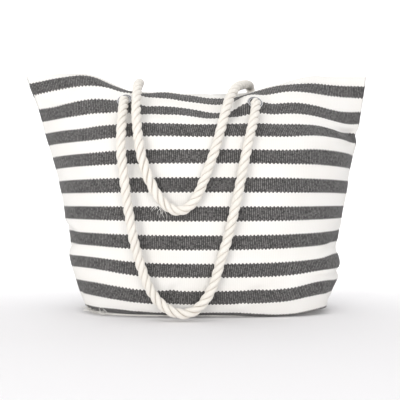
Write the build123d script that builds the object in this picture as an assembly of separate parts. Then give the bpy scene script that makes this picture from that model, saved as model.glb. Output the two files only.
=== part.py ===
import os
from math import cos, pi, radians, sin, tan

from build123d import *

# A striped canvas tote bag with two rope handles, in millimetres.
# The bag faces -Y, stands on z = 0, and its side seams lie in the plane y = 0.

# Outer surface along the middle of the front panel, from the base edge to the rim: (y, z).
front_profile = [(-76, 0), (-93, 14), (-102, 50), (-107, 110), (-108, 170), (-105, 225), (-97, 262),
                 (-86, 290), (-76, 307), (-62, 318), (-42, 324), (-26, 326)]
# The same along the middle of the back panel.
back_profile = [(76, 0), (93, 14), (102, 50), (107, 110), (108, 170), (105, 225), (94, 270),
                (76, 305), (58, 324), (44, 334)]
# The side seam, from the base to the top corner: (half width, z).
side_profile = [(177, 0), (187, 14), (195, 45), (204, 100), (214, 160), (226, 215), (240, 275),
                (252, 325), (260, 354)]
base_shift = 14.0  # the base sits this far to +X of the rim
base_squareness = 3.2  # 2 is an ellipse, and more is squarer
canvas_thickness = 1.6
seam_half_gap = 1.9
grid_columns = 17
grid_rows = 31

hem_depth = 0.05  # the turned top, as a share of the panel's height
hem_thickness = 1.2
hem_inset = 2.1
lining_thickness = 0.6
lining_inset = 2.8
layer_gap = 0.4

rope_diameter = 14.0
eyelet_bore = 14.8
eyelet_tube = 16.4
eyelet_flange = 22.5
eyelet_flange_thickness = 1.2
# Left and right eyelets: share of the panel's width from the left seam, and of its height from the base.
eyelet_places = ((0.292, 0.868), (0.656, 0.849))
hinge_offset = 12.0  # the rope bends this far outside the canvas
hinge_gap = 3.0
knot_offset = 13.0  # from the canvas to the middle of the knot inside
knot_radius = 13.0
tail_length = 26.0
whipping_length = 9.0

pocket_width = 200.0
pocket_top = 264.0
pocket_height = 130.0
pocket_top_y = 71.0
pocket_bottom_y = 86.0
pocket_thickness = 3.0
zip_length = 184.0
zip_drop = 14.0  # from the pocket's top edge to the zip's middle
tape_width = 12.0
tape_thickness = 0.7
coil_width = 5.0
coil_thickness = 1.8

# The middle line of each rope where it leaves the bag: (x, y, z), from the left bend to the right one.
front_rope_route = [
    (-106, -94, 297), (-106, -113, 266), (-103, -120, 226), (-97, -121, 182), (-91, -121, 138),
    (-82, -119, 94), (-70, -117, 56), (-55, -115, 28), (-34, -114, 12), (-10, -114, 10), (9, -114, 24),
    (22, -115, 48), (32, -117, 82), (44, -120, 122), (53, -121, 162), (61, -121, 202), (68, -119, 238),
    (75, -112, 268), (82, -96, 297)]
back_leg_left_route = [(-104, 79, 330), (-98, 58, 345), (-90, 18, 347)]
back_leg_right_route = [(88, 80, 330), (86, 60, 344), (80, 18, 346)]
back_bend_left = (-86.0, -30.0, 340.0)
back_bend_right = (66.0, -30.0, 337.0)
back_grip_route = [
    (-86, -59, 331), (-85, -86, 309), (-84, -106, 281), (-80, -117, 250), (-74, -121, 218),
    (-64, -123, 190), (-50, -124, 166), (-33, -124, 151), (-15, -124, 152), (-1, -124, 168),
    (9, -123, 191), (19, -122, 219), (29, -118, 248), (36, -109, 277), (44, -90, 305), (54, -61, 328)]


def smooth(value, low, high):
    share = min(1.0, max(0.0, (value - low) / (high - low)))
    return share * share * (3 - 2 * share)


def profile_point(profile, height):
    """Point at a share of the profile's length."""
    curve = Spline(*[(0, p[0], p[1]) for p in profile])
    point = curve.position_at(height * curve.length, position_mode=PositionMode.LENGTH)
    return point.Y, point.Z


def panel_row(profile, height):
    """The panel's horizontal section at one height, as a curve from the left seam to the right one."""
    side = 1 if profile[0][0] > 0 else -1
    depth, middle_z = profile_point(profile, height)
    half_width, seam_z = profile_point(side_profile, height)
    squareness = base_squareness + (2 - base_squareness) * smooth(height, 0.0, 0.35)
    lens = smooth(height, 0.5, 1.0)
    points = []
    for i in range(grid_columns):
        angle = -pi / 2 + pi * i / (grid_columns - 1)
        across = abs(sin(angle)) ** (2 / squareness) * (1 if angle > 0 else -1)
        forward = max(0.0, cos(angle)) ** (2 / squareness)
        flat = angle * 2 / pi
        across = (1 - lens) * across + lens * flat
        forward = (1 - lens) * forward + lens * (1 - abs(flat) ** 1.7)
        x = base_shift * (1 - height) + half_width * across
        y = side * (seam_half_gap + (abs(depth) - seam_half_gap) * forward)
        z = seam_z + (middle_z - seam_z) * forward
        points.append((x, y, z))
    return Spline(*points)


def panel_grid(profile, columns, rows):
    """Points over a patch of the panel, between shares of its width and of its height."""
    grid = []
    row_count = max(5, round(grid_rows * (rows[1] - rows[0])))
    for j in range(row_count):
        height = rows[0] + (rows[1] - rows[0]) * j / (row_count - 1)
        curve = panel_row(profile, height)
        row = []
        for i in range(grid_columns):
            share = columns[0] + (columns[1] - columns[0]) * i / (grid_columns - 1)
            row.append(curve.position_at(share * curve.length, position_mode=PositionMode.LENGTH))
        grid.append(row)
    return grid


def moved_inwards(grid, distance, side):
    """The same points moved into the bag, square to the cloth."""
    moved = []
    for j, row in enumerate(grid):
        below, above = grid[max(j - 1, 0)], grid[min(j + 1, len(grid) - 1)]
        moved_row = []
        for i, point in enumerate(row):
            along = row[min(i + 1, len(row) - 1)] - row[max(i - 1, 0)]
            up = above[i] - below[i]
            inward = along.cross(up).normalized() * side
            moved_row.append(point + inward * distance)
        moved.append(moved_row)
    return moved


def cloth(profile, inset, thickness, columns=(0.0, 1.0), rows=(0.0, 1.0)):
    """A closed solid of cloth, with its outer face that far inside the bag's outer surface."""
    side = 1 if profile[0][0] > 0 else -1
    grid = panel_grid(profile, columns, rows)
    outer = Face.make_surface_from_array_of_points(moved_inwards(grid, inset, side), tol=0.02)
    inner = Face.make_surface_from_array_of_points(moved_inwards(grid, inset + thickness, side), tol=0.02)
    edges = [Face.make_surface_from_curves(a, b) for a, b in zip(outer.edges(), inner.edges())]
    return Solid(Shell([outer, inner, *edges]))


def eyelet_frame(profile, eyelet_place):
    """A plane on the canvas at an eyelet, with its Z axis pointing out of the bag."""
    side = 1 if profile[0][0] > 0 else -1
    column, row = eyelet_place
    step = 0.015
    points = []
    for height, share in ((0, 0), (0, -step), (0, step), (-step, 0), (step, 0)):
        curve = panel_row(profile, row + height)
        place = (column + share) * curve.length
        points.append(curve.position_at(place, position_mode=PositionMode.LENGTH))
    here, left, right, below, above = points
    outward = (right - left).cross(below - above).normalized() * side
    return Plane(origin=here, x_dir=(right - left).normalized(), z_dir=outward)


def tube_between(start, end, radius):
    direction = (end - start).normalized()
    return Plane(origin=start, z_dir=direction) * Cylinder(
        radius, (end - start).length, align=(Align.CENTER, Align.CENTER, Align.MIN))


def rope(name, points):
    """A rope along straight runs joined by tangent arcs, as large as the runs allow."""
    points = [Vector(*p) for p in points]
    radii = []
    for before, here, after in zip(points, points[1:], points[2:]):
        run = min((here - before).length, (after - here).length)
        turn = radians((here - before).get_angle(after - here))
        radii.append(0.45 * run / tan(turn / 2))
    path = FilletPolyline(*points, radius=radii)
    start = Plane(origin=path @ 0, z_dir=path % 0)
    solid = sweep(start * Circle(rope_diameter / 2), path=path).solid()
    expected = pi * rope_diameter ** 2 / 4 * path.length
    print(f"{name}: length {path.length:.1f}, volume {solid.volume / expected:.4f} of expected, radii",
          [round(r) for r in radii])
    return solid


def rounded_end(solid, centre):
    """A rope solid whose end at the bend is a ball about the hinge axis."""
    return (solid + Pos(*centre) * Sphere(rope_diameter / 2)).solid()


def beyond_bend(solid, centre):
    """A rope solid cut back to clear the ball at the bend."""
    return (solid - Pos(*centre) * Sphere(rope_diameter / 2 + hinge_gap)).solids().sort_by(
        SortBy.VOLUME)[-1]


def panel(profile):
    """One face of the bag, with its two eyelet holes."""
    solid = cloth(profile, 0, canvas_thickness)
    for eyelet_place in eyelet_places:
        frame = eyelet_frame(profile, eyelet_place)
        solid -= frame * Cylinder(eyelet_tube / 2 + 0.2, 30)
    return solid.solid()


def hem(profile):
    """The top edge of the canvas, turned to the inside."""
    return cloth(profile, hem_inset, hem_thickness, columns=(0.04, 0.96), rows=(1 - hem_depth, 0.999))


def lining(profile):
    return cloth(profile, lining_inset, lining_thickness, columns=(0.03, 0.97),
                 rows=(0.03, 1 - hem_depth - 0.135))


def facing(profile):
    """The band of canvas inside the rim that the eyelets clamp."""
    solid = cloth(profile, canvas_thickness + layer_gap, canvas_thickness, columns=(0.04, 0.96),
                  rows=(1 - hem_depth - 0.13, 1 - hem_depth - 0.004))
    for eyelet_place in eyelet_places:
        frame = eyelet_frame(profile, eyelet_place)
        solid -= frame * Cylinder(eyelet_tube / 2 + 0.2, 30)
    return solid.solid()


def eyelet(frame):
    """The outer half of an eyelet: a rolled flange and the tube that goes through the canvas."""
    flange = Pos(0, 0, 0.25) * Cylinder(eyelet_flange / 2, eyelet_flange_thickness,
                                        align=(Align.CENTER, Align.CENTER, Align.MIN))
    flange = fillet(flange.faces().sort_by(Axis.Z)[-1].edges(), 0.9)
    stem = Pos(0, 0, 0.3) * Cylinder(eyelet_tube / 2, 7.0, align=(Align.CENTER, Align.CENTER, Align.MAX))
    return (frame * (flange + stem - Cylinder(eyelet_bore / 2, 30))).solid()


def eyelet_washer(frame):
    """The inner half of an eyelet, pressed round the tube."""
    ring = Pos(0, 0, -5.2) * Cylinder(eyelet_flange / 2, 1.0, align=(Align.CENTER, Align.CENTER, Align.MAX))
    return (frame * (ring - Cylinder(eyelet_tube / 2 + 0.03, 30))).solid()


def knot(frame):
    """The overhand knot that stops the rope inside the bag, as its outer shape."""
    lump = Pos(0, 0, -knot_offset - knot_radius * 0.35) * scale(Sphere(knot_radius), by=(1, 1, 0.8))
    return (frame * (lump - Pos(0, 0, -knot_offset) * Cylinder(rope_diameter / 2 + 0.05, 60))).solid()


def knot_tail(frame, bend):
    """The rope from its whipped end, through the knot and the eyelet, to the bend outside."""
    end = frame.origin - frame.z_dir * (knot_offset + tail_length)
    return beyond_bend(tube_between(end, frame.origin + frame.z_dir * hinge_offset, rope_diameter / 2),
                       bend)


def whipping(frame):
    """The bound end of the rope, which keeps its strands together."""
    middle = -(knot_offset + tail_length - 4)
    sleeve = Pos(0, 0, middle + 0.1) * Cylinder(rope_diameter / 2 + 1.0, whipping_length)
    return (frame * (sleeve - Pos(0, 0, middle) * Cylinder(rope_diameter / 2 + 0.05, 40))).solid()


def side_seam(side):
    """The bound seam allowance inside one side of the bag."""
    inner = []
    outer = []
    for j in range(9):
        height = 0.03 + 0.95 * j / 8
        half_width, z = profile_point(side_profile, height)
        middle = base_shift * (1 - height)
        outer.append((middle + side * (half_width - 4.5), 0, z))
        inner.append((middle + side * (half_width - 15), 0, z))
    outline = Wire([Spline(*outer), Line(outer[-1], inner[-1]), Spline(*inner), Line(inner[0], outer[0])])
    return extrude(Face(outline), amount=0.8, both=True, dir=(0, 1, 0)).solid()


def base_outline(inset):
    """The base's outline, inside both panels."""
    halves = []
    for side in (-1, 1):
        points = []
        for i in range(grid_columns):
            angle = -pi / 2 + pi * i / (grid_columns - 1)
            across = abs(sin(angle)) ** (2 / base_squareness) * (1 if angle > 0 else -1)
            forward = max(0.0, cos(angle)) ** (2 / base_squareness)
            x = base_shift + (side_profile[0][0] - inset) * across
            points.append((x, side * (back_profile[0][0] - inset) * forward, 0))
        halves.append(Spline(*points))
    return Face(Wire(halves))


def base_layer(inset, bottom, thickness):
    return (Pos(0, 0, bottom) * extrude(base_outline(inset), thickness, dir=(0, 0, 1))).solid()


def base_seam():
    """The bound seam round the base, which stands up inside as a low rib."""
    ring = base_outline(canvas_thickness + 3.5) - base_outline(canvas_thickness + 11.5)
    return (Pos(0, 0, canvas_thickness + 0.3) * extrude(ring, 1.6, dir=(0, 0, 1))).solid()


def pocket_frame():
    """A plane on the pocket's inner face, centred on its top edge, with local Y up and local Z inwards."""
    up = Vector(0, pocket_top_y - pocket_bottom_y, pocket_height).normalized()
    inwards = Vector(1, 0, 0).cross(up)
    return Plane(origin=(0, pocket_top_y, pocket_top), x_dir=(1, 0, 0), z_dir=inwards)


def pocket_bag(frame):
    """The flat pocket that hangs inside the back, as one closed bag."""
    height = pocket_height
    body = Box(pocket_width, height, pocket_thickness, align=(Align.CENTER, Align.MAX, Align.MAX))
    lower = body.edges().filter_by(Axis.Z).sort_by(Axis.Y)[:2]
    return (frame * fillet(lower, 12)).solid()


def zip_tape(frame, side):
    middle = -zip_drop + side * (coil_width / 2 + 0.2 + tape_width / 2)
    tape = Pos(0, middle, 0.1) * Box(zip_length, tape_width, tape_thickness,
                                     align=(Align.CENTER, Align.CENTER, Align.MIN))
    return (frame * tape).solid()


def zip_coil(frame):
    """The closed teeth, as the band that the slider runs on."""
    coil = Pos(0, -zip_drop, 0.1) * Box(zip_length, coil_width, coil_thickness,
                                        align=(Align.CENTER, Align.CENTER, Align.MIN))
    return (frame * fillet(coil.edges().filter_by(Axis.X), 0.6)).solid()


def zip_stop(frame, side):
    stop = Pos(side * (zip_length / 2 - 3), -zip_drop, 2.1) * Box(
        3, 6.5, 1.2, align=(Align.CENTER, Align.CENTER, Align.MIN))
    return (frame * fillet(stop.edges(), 0.4)).solid()


slider_x = -78.0
slider_length = 11.0
slider_bottom = 2.3
puller_length = 24.0
puller_pin_height = 5.8  # the pin's distance from the pocket's face


def zip_slider(frame):
    """The slider's top plate with its bridge, which holds the puller."""
    plate = Box(slider_length, 8.5, 2.0, align=(Align.CENTER, Align.CENTER, Align.MIN))
    plate = fillet(plate.edges().filter_by(Axis.Z), 2.5)
    bridge = Pos(0, 0, 1.9) * Box(2.4, 7.6, 4.6, align=(Align.CENTER, Align.CENTER, Align.MIN))
    hole = Pos(0, 0, 2.1) * Box(5, 4.2, 2.8, align=(Align.CENTER, Align.CENTER, Align.MIN))
    return (frame * (Pos(slider_x, -zip_drop, slider_bottom) * (plate + bridge - hole))).solid()


def zip_puller(frame):
    """The pull tab, hanging straight down from its bar in the slider's bridge."""
    pin = frame.from_local_coords(Vector(slider_x, -zip_drop, puller_pin_height))
    print(f"puller pin ({pin.X:.2f}, {pin.Y:.2f}, {pin.Z:.2f})")
    eye = Pos(0, 0.7, 0) * Box(8.4, 9.0, 1.4, align=(Align.CENTER, Align.MAX, Align.CENTER))
    eye -= Pos(0, -0.7, 0) * Box(5.4, 6.2, 3, align=(Align.CENTER, Align.MAX, Align.CENTER))
    tab = Pos(0, -7.6, 0) * Box(6.5, puller_length - 7.6, 1.4,
                                align=(Align.CENTER, Align.MAX, Align.CENTER))
    tab = fillet(tab.edges().filter_by(Axis.Z).sort_by(Axis.Y)[:2], 2.4)
    tab -= Pos(0, -puller_length + 3.6, 0) * Cylinder(1.6, 3)
    flat = Plane(origin=pin, x_dir=(1, 0, 0), z_dir=(0, -1, 0))
    return (flat * (eye + tab)).solid()


def ropes(nodes):
    """Both handles: fixed tails with their knots, and the lengths of rope that swing."""
    frames = {}
    for name, profile in (("front", front_profile), ("back", back_profile)):
        for side, eyelet_place in zip(("left", "right"), eyelet_places):
            frames[name, side] = eyelet_frame(profile, eyelet_place)
    bends = {key: frame.origin + frame.z_dir * hinge_offset for key, frame in frames.items()}
    for (name, side), frame in frames.items():
        bend = bends[name, side]
        print(f"{name} {side} bend ({bend.X:.2f}, {bend.Y:.2f}, {bend.Z:.2f})",
              f"outward ({frame.z_dir.X:.3f}, {frame.z_dir.Y:.3f}, {frame.z_dir.Z:.3f})",
              f"eyelet ({frame.origin.X:.2f}, {frame.origin.Y:.2f}, {frame.origin.Z:.2f})")
        nodes[f"{name}_eyelet_{side}"] = eyelet(frame)
        nodes[f"{name}_eyelet_washer_{side}"] = eyelet_washer(frame)
        nodes[f"{name}_rope_tail_{side}"] = knot_tail(frame, bend)
        nodes[f"{name}_knot_{side}"] = knot(frame)
        nodes[f"{name}_whipping_{side}"] = whipping(frame)
    left, right = bends["front", "left"], bends["front", "right"]
    loop = rope("front_handle_rope", [left, *front_rope_route, right])
    nodes["front_handle_rope"] = rounded_end(rounded_end(loop, left), right)
    for side, route, far in (("left", back_leg_left_route, back_bend_left),
                             ("right", back_leg_right_route, back_bend_right)):
        near = bends["back", side]
        leg = rope(f"back_rope_leg_{side}", [near, *route, far])
        nodes[f"back_rope_leg_{side}"] = beyond_bend(rounded_end(leg, near), far)
    grip = rope("back_handle_rope", [back_bend_left, *back_grip_route, back_bend_right])
    nodes["back_handle_rope"] = rounded_end(rounded_end(grip, back_bend_left), back_bend_right)


def bag():
    """Every sub-part of the bag by name."""
    nodes = {}
    for name, profile in (("front", front_profile), ("back", back_profile)):
        nodes[f"{name}_panel"] = panel(profile)
        nodes[f"{name}_hem"] = hem(profile)
        nodes[f"{name}_facing"] = facing(profile)
        nodes[f"{name}_lining"] = lining(profile)
    for name, side in (("left", -1), ("right", 1)):
        nodes[f"side_seam_{name}"] = side_seam(side)
    nodes["base_panel"] = base_layer(canvas_thickness + 0.4, 0, canvas_thickness)
    nodes["base_seam"] = base_seam()
    nodes["base_lining"] = base_layer(canvas_thickness + 5, canvas_thickness + 2.3, lining_thickness)
    frame = pocket_frame()
    nodes["pocket_bag"] = pocket_bag(frame)
    nodes["zip_tape_upper"] = zip_tape(frame, 1)
    nodes["zip_tape_lower"] = zip_tape(frame, -1)
    nodes["zip_teeth"] = zip_coil(frame)
    nodes["zip_stop_left"] = zip_stop(frame, -1)
    nodes["zip_stop_right"] = zip_stop(frame, 1)
    nodes["zip_slider"] = zip_slider(frame)
    nodes["zip_puller"] = zip_puller(frame)
    ropes(nodes)
    return nodes


os.makedirs("parts", exist_ok=True)
for node_name, solid in bag().items():
    export_step(solid, f"parts/{node_name}.step")
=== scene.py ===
import math

import bmesh
import bpy
import numpy as np
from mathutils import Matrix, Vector, noise


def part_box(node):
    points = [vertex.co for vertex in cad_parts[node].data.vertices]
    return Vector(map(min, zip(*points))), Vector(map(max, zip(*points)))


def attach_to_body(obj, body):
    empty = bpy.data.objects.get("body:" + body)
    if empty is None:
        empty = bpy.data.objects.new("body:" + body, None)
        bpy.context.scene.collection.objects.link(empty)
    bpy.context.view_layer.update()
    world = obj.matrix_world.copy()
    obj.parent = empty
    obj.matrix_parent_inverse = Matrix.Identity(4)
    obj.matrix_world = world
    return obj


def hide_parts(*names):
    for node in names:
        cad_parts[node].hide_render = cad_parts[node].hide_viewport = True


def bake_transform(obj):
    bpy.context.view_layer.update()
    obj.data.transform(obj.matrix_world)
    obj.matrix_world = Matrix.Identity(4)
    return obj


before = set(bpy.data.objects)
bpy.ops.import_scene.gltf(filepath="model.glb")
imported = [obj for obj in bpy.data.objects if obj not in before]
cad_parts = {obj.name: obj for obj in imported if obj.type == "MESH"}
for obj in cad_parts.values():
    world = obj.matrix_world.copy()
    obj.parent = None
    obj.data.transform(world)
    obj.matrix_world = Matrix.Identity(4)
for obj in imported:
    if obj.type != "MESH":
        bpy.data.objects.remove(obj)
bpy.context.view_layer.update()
print("stage: frame loaded")

# Camera, floor and light

view = {"place": (0.004, -1.05, 0.166), "lens": 61.8}
studio = {
    "sky": (1.0, 1.0, 1.0), "skyPower": 0.68,
    "wall": (0.95, 0.95, 0.955), "floor": (0.87, 0.86, 0.87), "glow": 0.36,
    "glowFrom": -0.10, "glowTo": 0.72, "wallBehind": 2.4, "sweep": 0.5, "half": 7.0,
    "lamps": [  # name, place, aims at, size, power, colour
        ("leftLamp", (-0.86, -2.0, 0.36), (0.0, 0.0, 0.17), 0.75, 16.3, (1.0, 0.99, 0.965)),
        ("rightLamp", (0.52, -2.1, 0.36), (0.0, 0.0, 0.17), 0.60, 10.0, (0.985, 0.985, 1.0)),
        ("topLamp", (0.0, -0.4, 2.2), (0.0, 0.0, 0.1), 1.4, 9.0, (1.0, 1.0, 1.0)),
    ],
}


def makeStudio():
    scene = bpy.context.scene
    scene.view_settings.view_transform = "Standard"
    camData = bpy.data.cameras.new("camera")
    camData.lens = view["lens"]
    cam = bpy.data.objects.new("camera", camData)
    cam.location = view["place"]
    cam.rotation_euler = (math.radians(90), 0, 0)
    scene.collection.objects.link(cam)
    scene.camera = cam
    world = bpy.data.worlds.new("studio")
    world.use_nodes = True
    back = world.node_tree.nodes["Background"]
    back.inputs["Color"].default_value = (*studio["sky"], 1)
    back.inputs["Strength"].default_value = studio["skyPower"]
    scene.world = world
    for name, place, aim, size, power, colour in studio["lamps"]:
        data = bpy.data.lights.new(name, "AREA")
        data.size = size
        data.energy = power
        data.color = colour
        lamp = bpy.data.objects.new(name, data)
        lamp.location = place
        lamp.rotation_euler = (Vector(aim) - lamp.location).to_track_quat("-Z", "Y").to_euler()
        scene.collection.objects.link(lamp)


makeStudio()
print("stage: camera and light")

# Shader maths: one socket that works in Python expressions


class Wire:
    def __init__(self, paint, socket):
        self.paint = paint
        self.socket = socket

    def join(self, operation, a, b=None, c=None):
        values = [v for v in (a, b, c) if v is not None]
        return self.paint.node("ShaderNodeMath", {"operation": operation}, dict(enumerate(values)))

    def __add__(self, other):
        return self.join("ADD", self, other)

    def __radd__(self, other):
        return self.join("ADD", other, self)

    def __sub__(self, other):
        return self.join("SUBTRACT", self, other)

    def __rsub__(self, other):
        return self.join("SUBTRACT", other, self)

    def __mul__(self, other):
        return self.join("MULTIPLY", self, other)

    def __rmul__(self, other):
        return self.join("MULTIPLY", other, self)

    def __truediv__(self, other):
        return self.join("DIVIDE", self, other)

    def __rtruediv__(self, other):
        return self.join("DIVIDE", other, self)

    def wave(self, pitch, phase=0.0):
        # 0 to 1 and back over each pitch
        angle = self * (2 * math.pi / pitch) + phase
        return 0.5 + 0.5 * self.join("SINE", angle)

    def fraction(self):
        return self.join("FRACT", self)

    def floor(self):
        return self.join("FLOOR", self)

    def size(self):
        return self.join("ABSOLUTE", self)

    def least(self, other):
        return self.join("MINIMUM", self, other)

    def ramp(self, low, high):
        # 0 below low, 1 above high, smooth between
        settings = {"interpolation_type": "SMOOTHSTEP"}
        return self.paint.node("ShaderNodeMapRange", settings,
                               {"Value": self, "From Min": low, "From Max": high})


class Paint:
    def __init__(self, name):
        self.material = bpy.data.materials.new(name)
        self.material.use_nodes = True
        self.tree = self.material.node_tree
        self.shader = self.tree.nodes["Principled BSDF"]

    def put(self, socket, value):
        if isinstance(value, Wire):
            self.tree.links.new(value.socket, socket)
        elif isinstance(value, tuple) and len(value) == 3 and socket.type == "RGBA":
            socket.default_value = (*value, 1)
        else:
            socket.default_value = value

    def node(self, kind, settings, inputs, out=0):
        made = self.tree.nodes.new(kind)
        for key, value in settings.items():
            setattr(made, key, value)
        for key, value in inputs.items():
            self.put(made.inputs[key], value)
        return Wire(self, made.outputs[out])

    def finish(self, **sockets):
        # a socket's name with its spaces left out, such as baseColor
        names = {s.name.replace(" ", "").lower(): s for s in self.shader.inputs}
        for key, value in sockets.items():
            self.put(names[key.lower()], value)
        return self.material

    def parts(self, vector):
        made = self.tree.nodes.new("ShaderNodeSeparateXYZ")
        self.put(made.inputs[0], vector)
        return vector, [Wire(self, o) for o in made.outputs]

    def place(self, name):
        # a mesh attribute, whole and as its three numbers
        return self.parts(self.node("ShaderNodeAttribute", {"attribute_name": name}, {}, out="Vector"))

    def objectPlace(self):
        return self.node("ShaderNodeTexCoord", {}, {}, out="Object")

    def join3(self, x, y, z):
        return self.node("ShaderNodeCombineXYZ", {}, {0: x, 1: y, 2: z})

    def speckle(self, vector, scale, detail=2.0, rough=0.5):
        return self.node("ShaderNodeTexNoise", {}, {"Vector": vector, "Scale": scale, "Detail": detail,
                                                    "Roughness": rough})

    def mix(self, share, a, b):
        return self.node("ShaderNodeMix", {"data_type": "RGBA"}, {0: share, 6: a, 7: b}, out=2)

    def bump(self, height, distance, strength=1.0, normal=None):
        inputs = {"Height": height, "Distance": distance, "Strength": strength}
        if normal is not None:
            inputs["Normal"] = normal
        return self.node("ShaderNodeBump", {}, inputs)


# Materials. Distances in them are metres of cloth.

stripes = {
    "first": 0.0185, "pitch": 0.0404, "dark": 0.0202, "soft": 0.00025,
    "ribPitch": 0.0027, "toothPitch": 0.0054, "tooth": 0.0015, "pickPitch": 0.0019,
}


def stripedCanvas():
    look = {
        "white": (0.82, 0.808, 0.785), "cream": (0.785, 0.758, 0.715), "whiteGroove": (0.66, 0.63, 0.59),
        "soot": (0.012, 0.012, 0.012), "ash": (0.212, 0.204, 0.200), "slate": (0.058, 0.057, 0.056),
    }
    p = Paint("stripedCanvas")
    vector, (across, down, layer) = p.place("clothPlace")
    # the ribs aren't quite straight
    sway = (p.speckle(vector, 14.0, 2.0) - 0.5) * 0.0008
    ribPlace = (across + sway) / stripes["ribPitch"]
    rib = ribPlace.wave(1.0)
    ribNumber = (ribPlace + 0.25).floor()
    # each stripe edge steps out with every second rib, so it looks toothed
    tooth = (ribPlace * (stripes["ribPitch"] / stripes["toothPitch"])).wave(1.0).ramp(0.1, 0.9)
    uneven = (p.speckle(p.join3(ribNumber * 3.1, down * 20.0, 0.0), 1.0, 1.0) - 0.5) * 0.0009
    edge = down + (tooth - 0.5) * stripes["tooth"] + uneven - stripes["first"]
    inside = (edge / stripes["pitch"]).fraction() * stripes["pitch"]
    soft = stripes["soft"]
    dark = inside.ramp(-soft, soft) * (1 - inside.ramp(stripes["dark"] - soft, stripes["dark"] + soft))
    dark = dark * edge.ramp(-soft, soft)
    # yarns: light and dark flecks that differ from rib to rib
    fleck = p.speckle(p.join3(ribNumber * 5.3, down * 230.0, 0.0), 1.0, 3.0, 0.75)
    fine = p.speckle(p.join3(across * 900.0, down * 420.0, 0.0), 1.0, 2.0)
    pick = down.wave(stripes["pickPitch"], ribNumber * math.pi)
    # groove is 1 in the hollow between two ribs; the colours below are darkened there as painted shade, and
    # the bump uses it too
    groove = (1 - rib).ramp(0.45, 0.95)
    yarnLight = fleck.ramp(0.34, 0.66) * 0.72 + fine.ramp(0.35, 0.7) * 0.34 + pick * 0.20
    # painted shade: the dark yarns are darker in the grooves
    charcoal = p.mix(yarnLight * (1 - groove * 0.90), look["soot"], look["ash"])
    cloud = p.speckle(vector, 16.0, 3.0)
    charcoal = p.mix(cloud.ramp(0.35, 0.75) * 0.25, charcoal, look["slate"])
    white = p.mix(cloud.ramp(0.3, 0.8) * 0.6, look["white"], look["cream"])
    # painted shade: the whites turn greyer in the grooves, and a little greyer at random with the fine
    # speckle
    white = p.mix(groove * 0.16 + fine * 0.08, white, look["whiteGroove"])
    colour = p.mix(dark, white, charcoal)
    # the coloured stripes are the coarser ones
    ridge = (1 - groove) * (0.30 + 0.70 * dark)
    weave = pick * (0.2 + 0.35 * dark) + ridge + fine * 0.25
    return p.finish(baseColor=colour, roughness=0.93 - 0.06 * rib, sheenWeight=0.15, sheenRoughness=0.6,
                    specularIORLevel=0.2, normal=p.bump(weave, 0.0005, 0.7))


def plainCanvas(name, colour, shade):
    yarnPitch = 0.0011
    p = Paint(name)
    vector, (across, down, layer) = p.place("clothPlace")
    warp = across.wave(yarnPitch)
    weft = down.wave(yarnPitch)
    weave = warp * weft + (1 - warp) * (1 - weft)
    cloud = p.speckle(vector, 25.0, 3.0)
    slub = p.speckle(p.join3(across * 6.0, down, layer), 180.0, 2.0)
    tone = p.mix(cloud * 0.6 + (slub - 0.5) * 0.5, colour, shade)
    return p.finish(baseColor=tone, roughness=0.9 - 0.08 * weave, sheenWeight=0.2, specularIORLevel=0.2,
                    normal=p.bump(weave + slub * 0.6, 0.0003, 0.6))


def cottonRope():
    look = {"lit": (0.85, 0.815, 0.755), "deep": (0.55, 0.485, 0.40), "fuzz": (0.90, 0.875, 0.83),
            "yarns": 9, "yarnLay": 0.016, "slant": 0.35}
    p = Paint("cottonRope")
    vector, (along, around, depth) = p.place("ropePlace")
    # yarns wind round each strand, so their lines cross the strand at a slant
    turn = around * look["yarns"] + along / look["yarnLay"] * look["yarns"] * look["slant"]
    yarn = turn.wave(1.0)
    fuzz = p.speckle(p.join3(along * 260.0, around * 26.0, depth), 1.0, 3.0, 0.65)
    # painted shade: a strand's inner side, where it meets the others, turns to the deep colour, and the
    # lines between yarns darken a little
    strandShade = (1 - depth).ramp(0.26, 0.80)
    tone = p.mix(strandShade * 0.85 + (1 - yarn) * 0.14, look["lit"], look["deep"])
    tone = p.mix(fuzz.ramp(0.45, 0.75) * 0.22, tone, look["fuzz"])
    height = yarn * 0.7 + fuzz * 0.6
    return p.finish(baseColor=tone, roughness=0.88 + 0.08 * fuzz, sheenWeight=0.35, sheenRoughness=0.5,
                    specularIORLevel=0.2, normal=p.bump(height, 0.0005, 0.75))


def brushedMetal(name, colour, rough):
    p = Paint(name)
    vector = p.objectPlace()
    smear = p.speckle(vector, 220.0, 4.0, 0.6)
    scratch = p.speckle(p.node("ShaderNodeVectorMath", {"operation": "MULTIPLY"},
                               {0: vector, 1: (900.0, 900.0, 60.0)}), 1.0, 2.0)
    tone = p.mix(smear.ramp(0.4, 0.8) * 0.3, colour, tuple(0.72 * c for c in colour))
    return p.finish(baseColor=tone, metallic=1.0, roughness=rough + 0.14 * smear,
                    normal=p.bump(scratch, 0.00003, 0.35))


def ringNickel():
    look = {"bright": (0.64, 0.64, 0.65), "dull": (0.20, 0.20, 0.21), "lip": 0.00805, "bead": 0.0106}
    p = Paint("ringNickel")
    vector, (radius, height, turn) = p.place("ringPlace")
    # painted highlight and shade: the metal is bright on the crests of the lip and the bead, and darker in
    # the dish between them, round both edges and everywhere else
    nearest = (radius - look["lip"]).size().least((radius - look["bead"]).size())
    smear = p.speckle(p.join3(turn * 60.0, radius * 900.0, height * 900.0), 1.0, 3.0, 0.6)
    dull = nearest.ramp(0.00012, 0.00062)
    tone = p.mix(dull * 0.85 + smear * 0.15, look["bright"], look["dull"])
    return p.finish(baseColor=tone, metallic=1.0, roughness=0.16 + 0.22 * smear,
                    normal=p.bump(smear, 0.00004, 0.4))


def sewingThread(name, colour):
    p = Paint(name)
    vector = p.objectPlace()
    ply = p.speckle(vector, 1500.0, 2.0)
    tone = p.mix(ply, colour, tuple(0.8 * c for c in colour))
    return p.finish(baseColor=tone, roughness=0.7 + 0.1 * ply, sheenWeight=0.2,
                    normal=p.bump(ply, 0.0002, 0.5))


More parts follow.
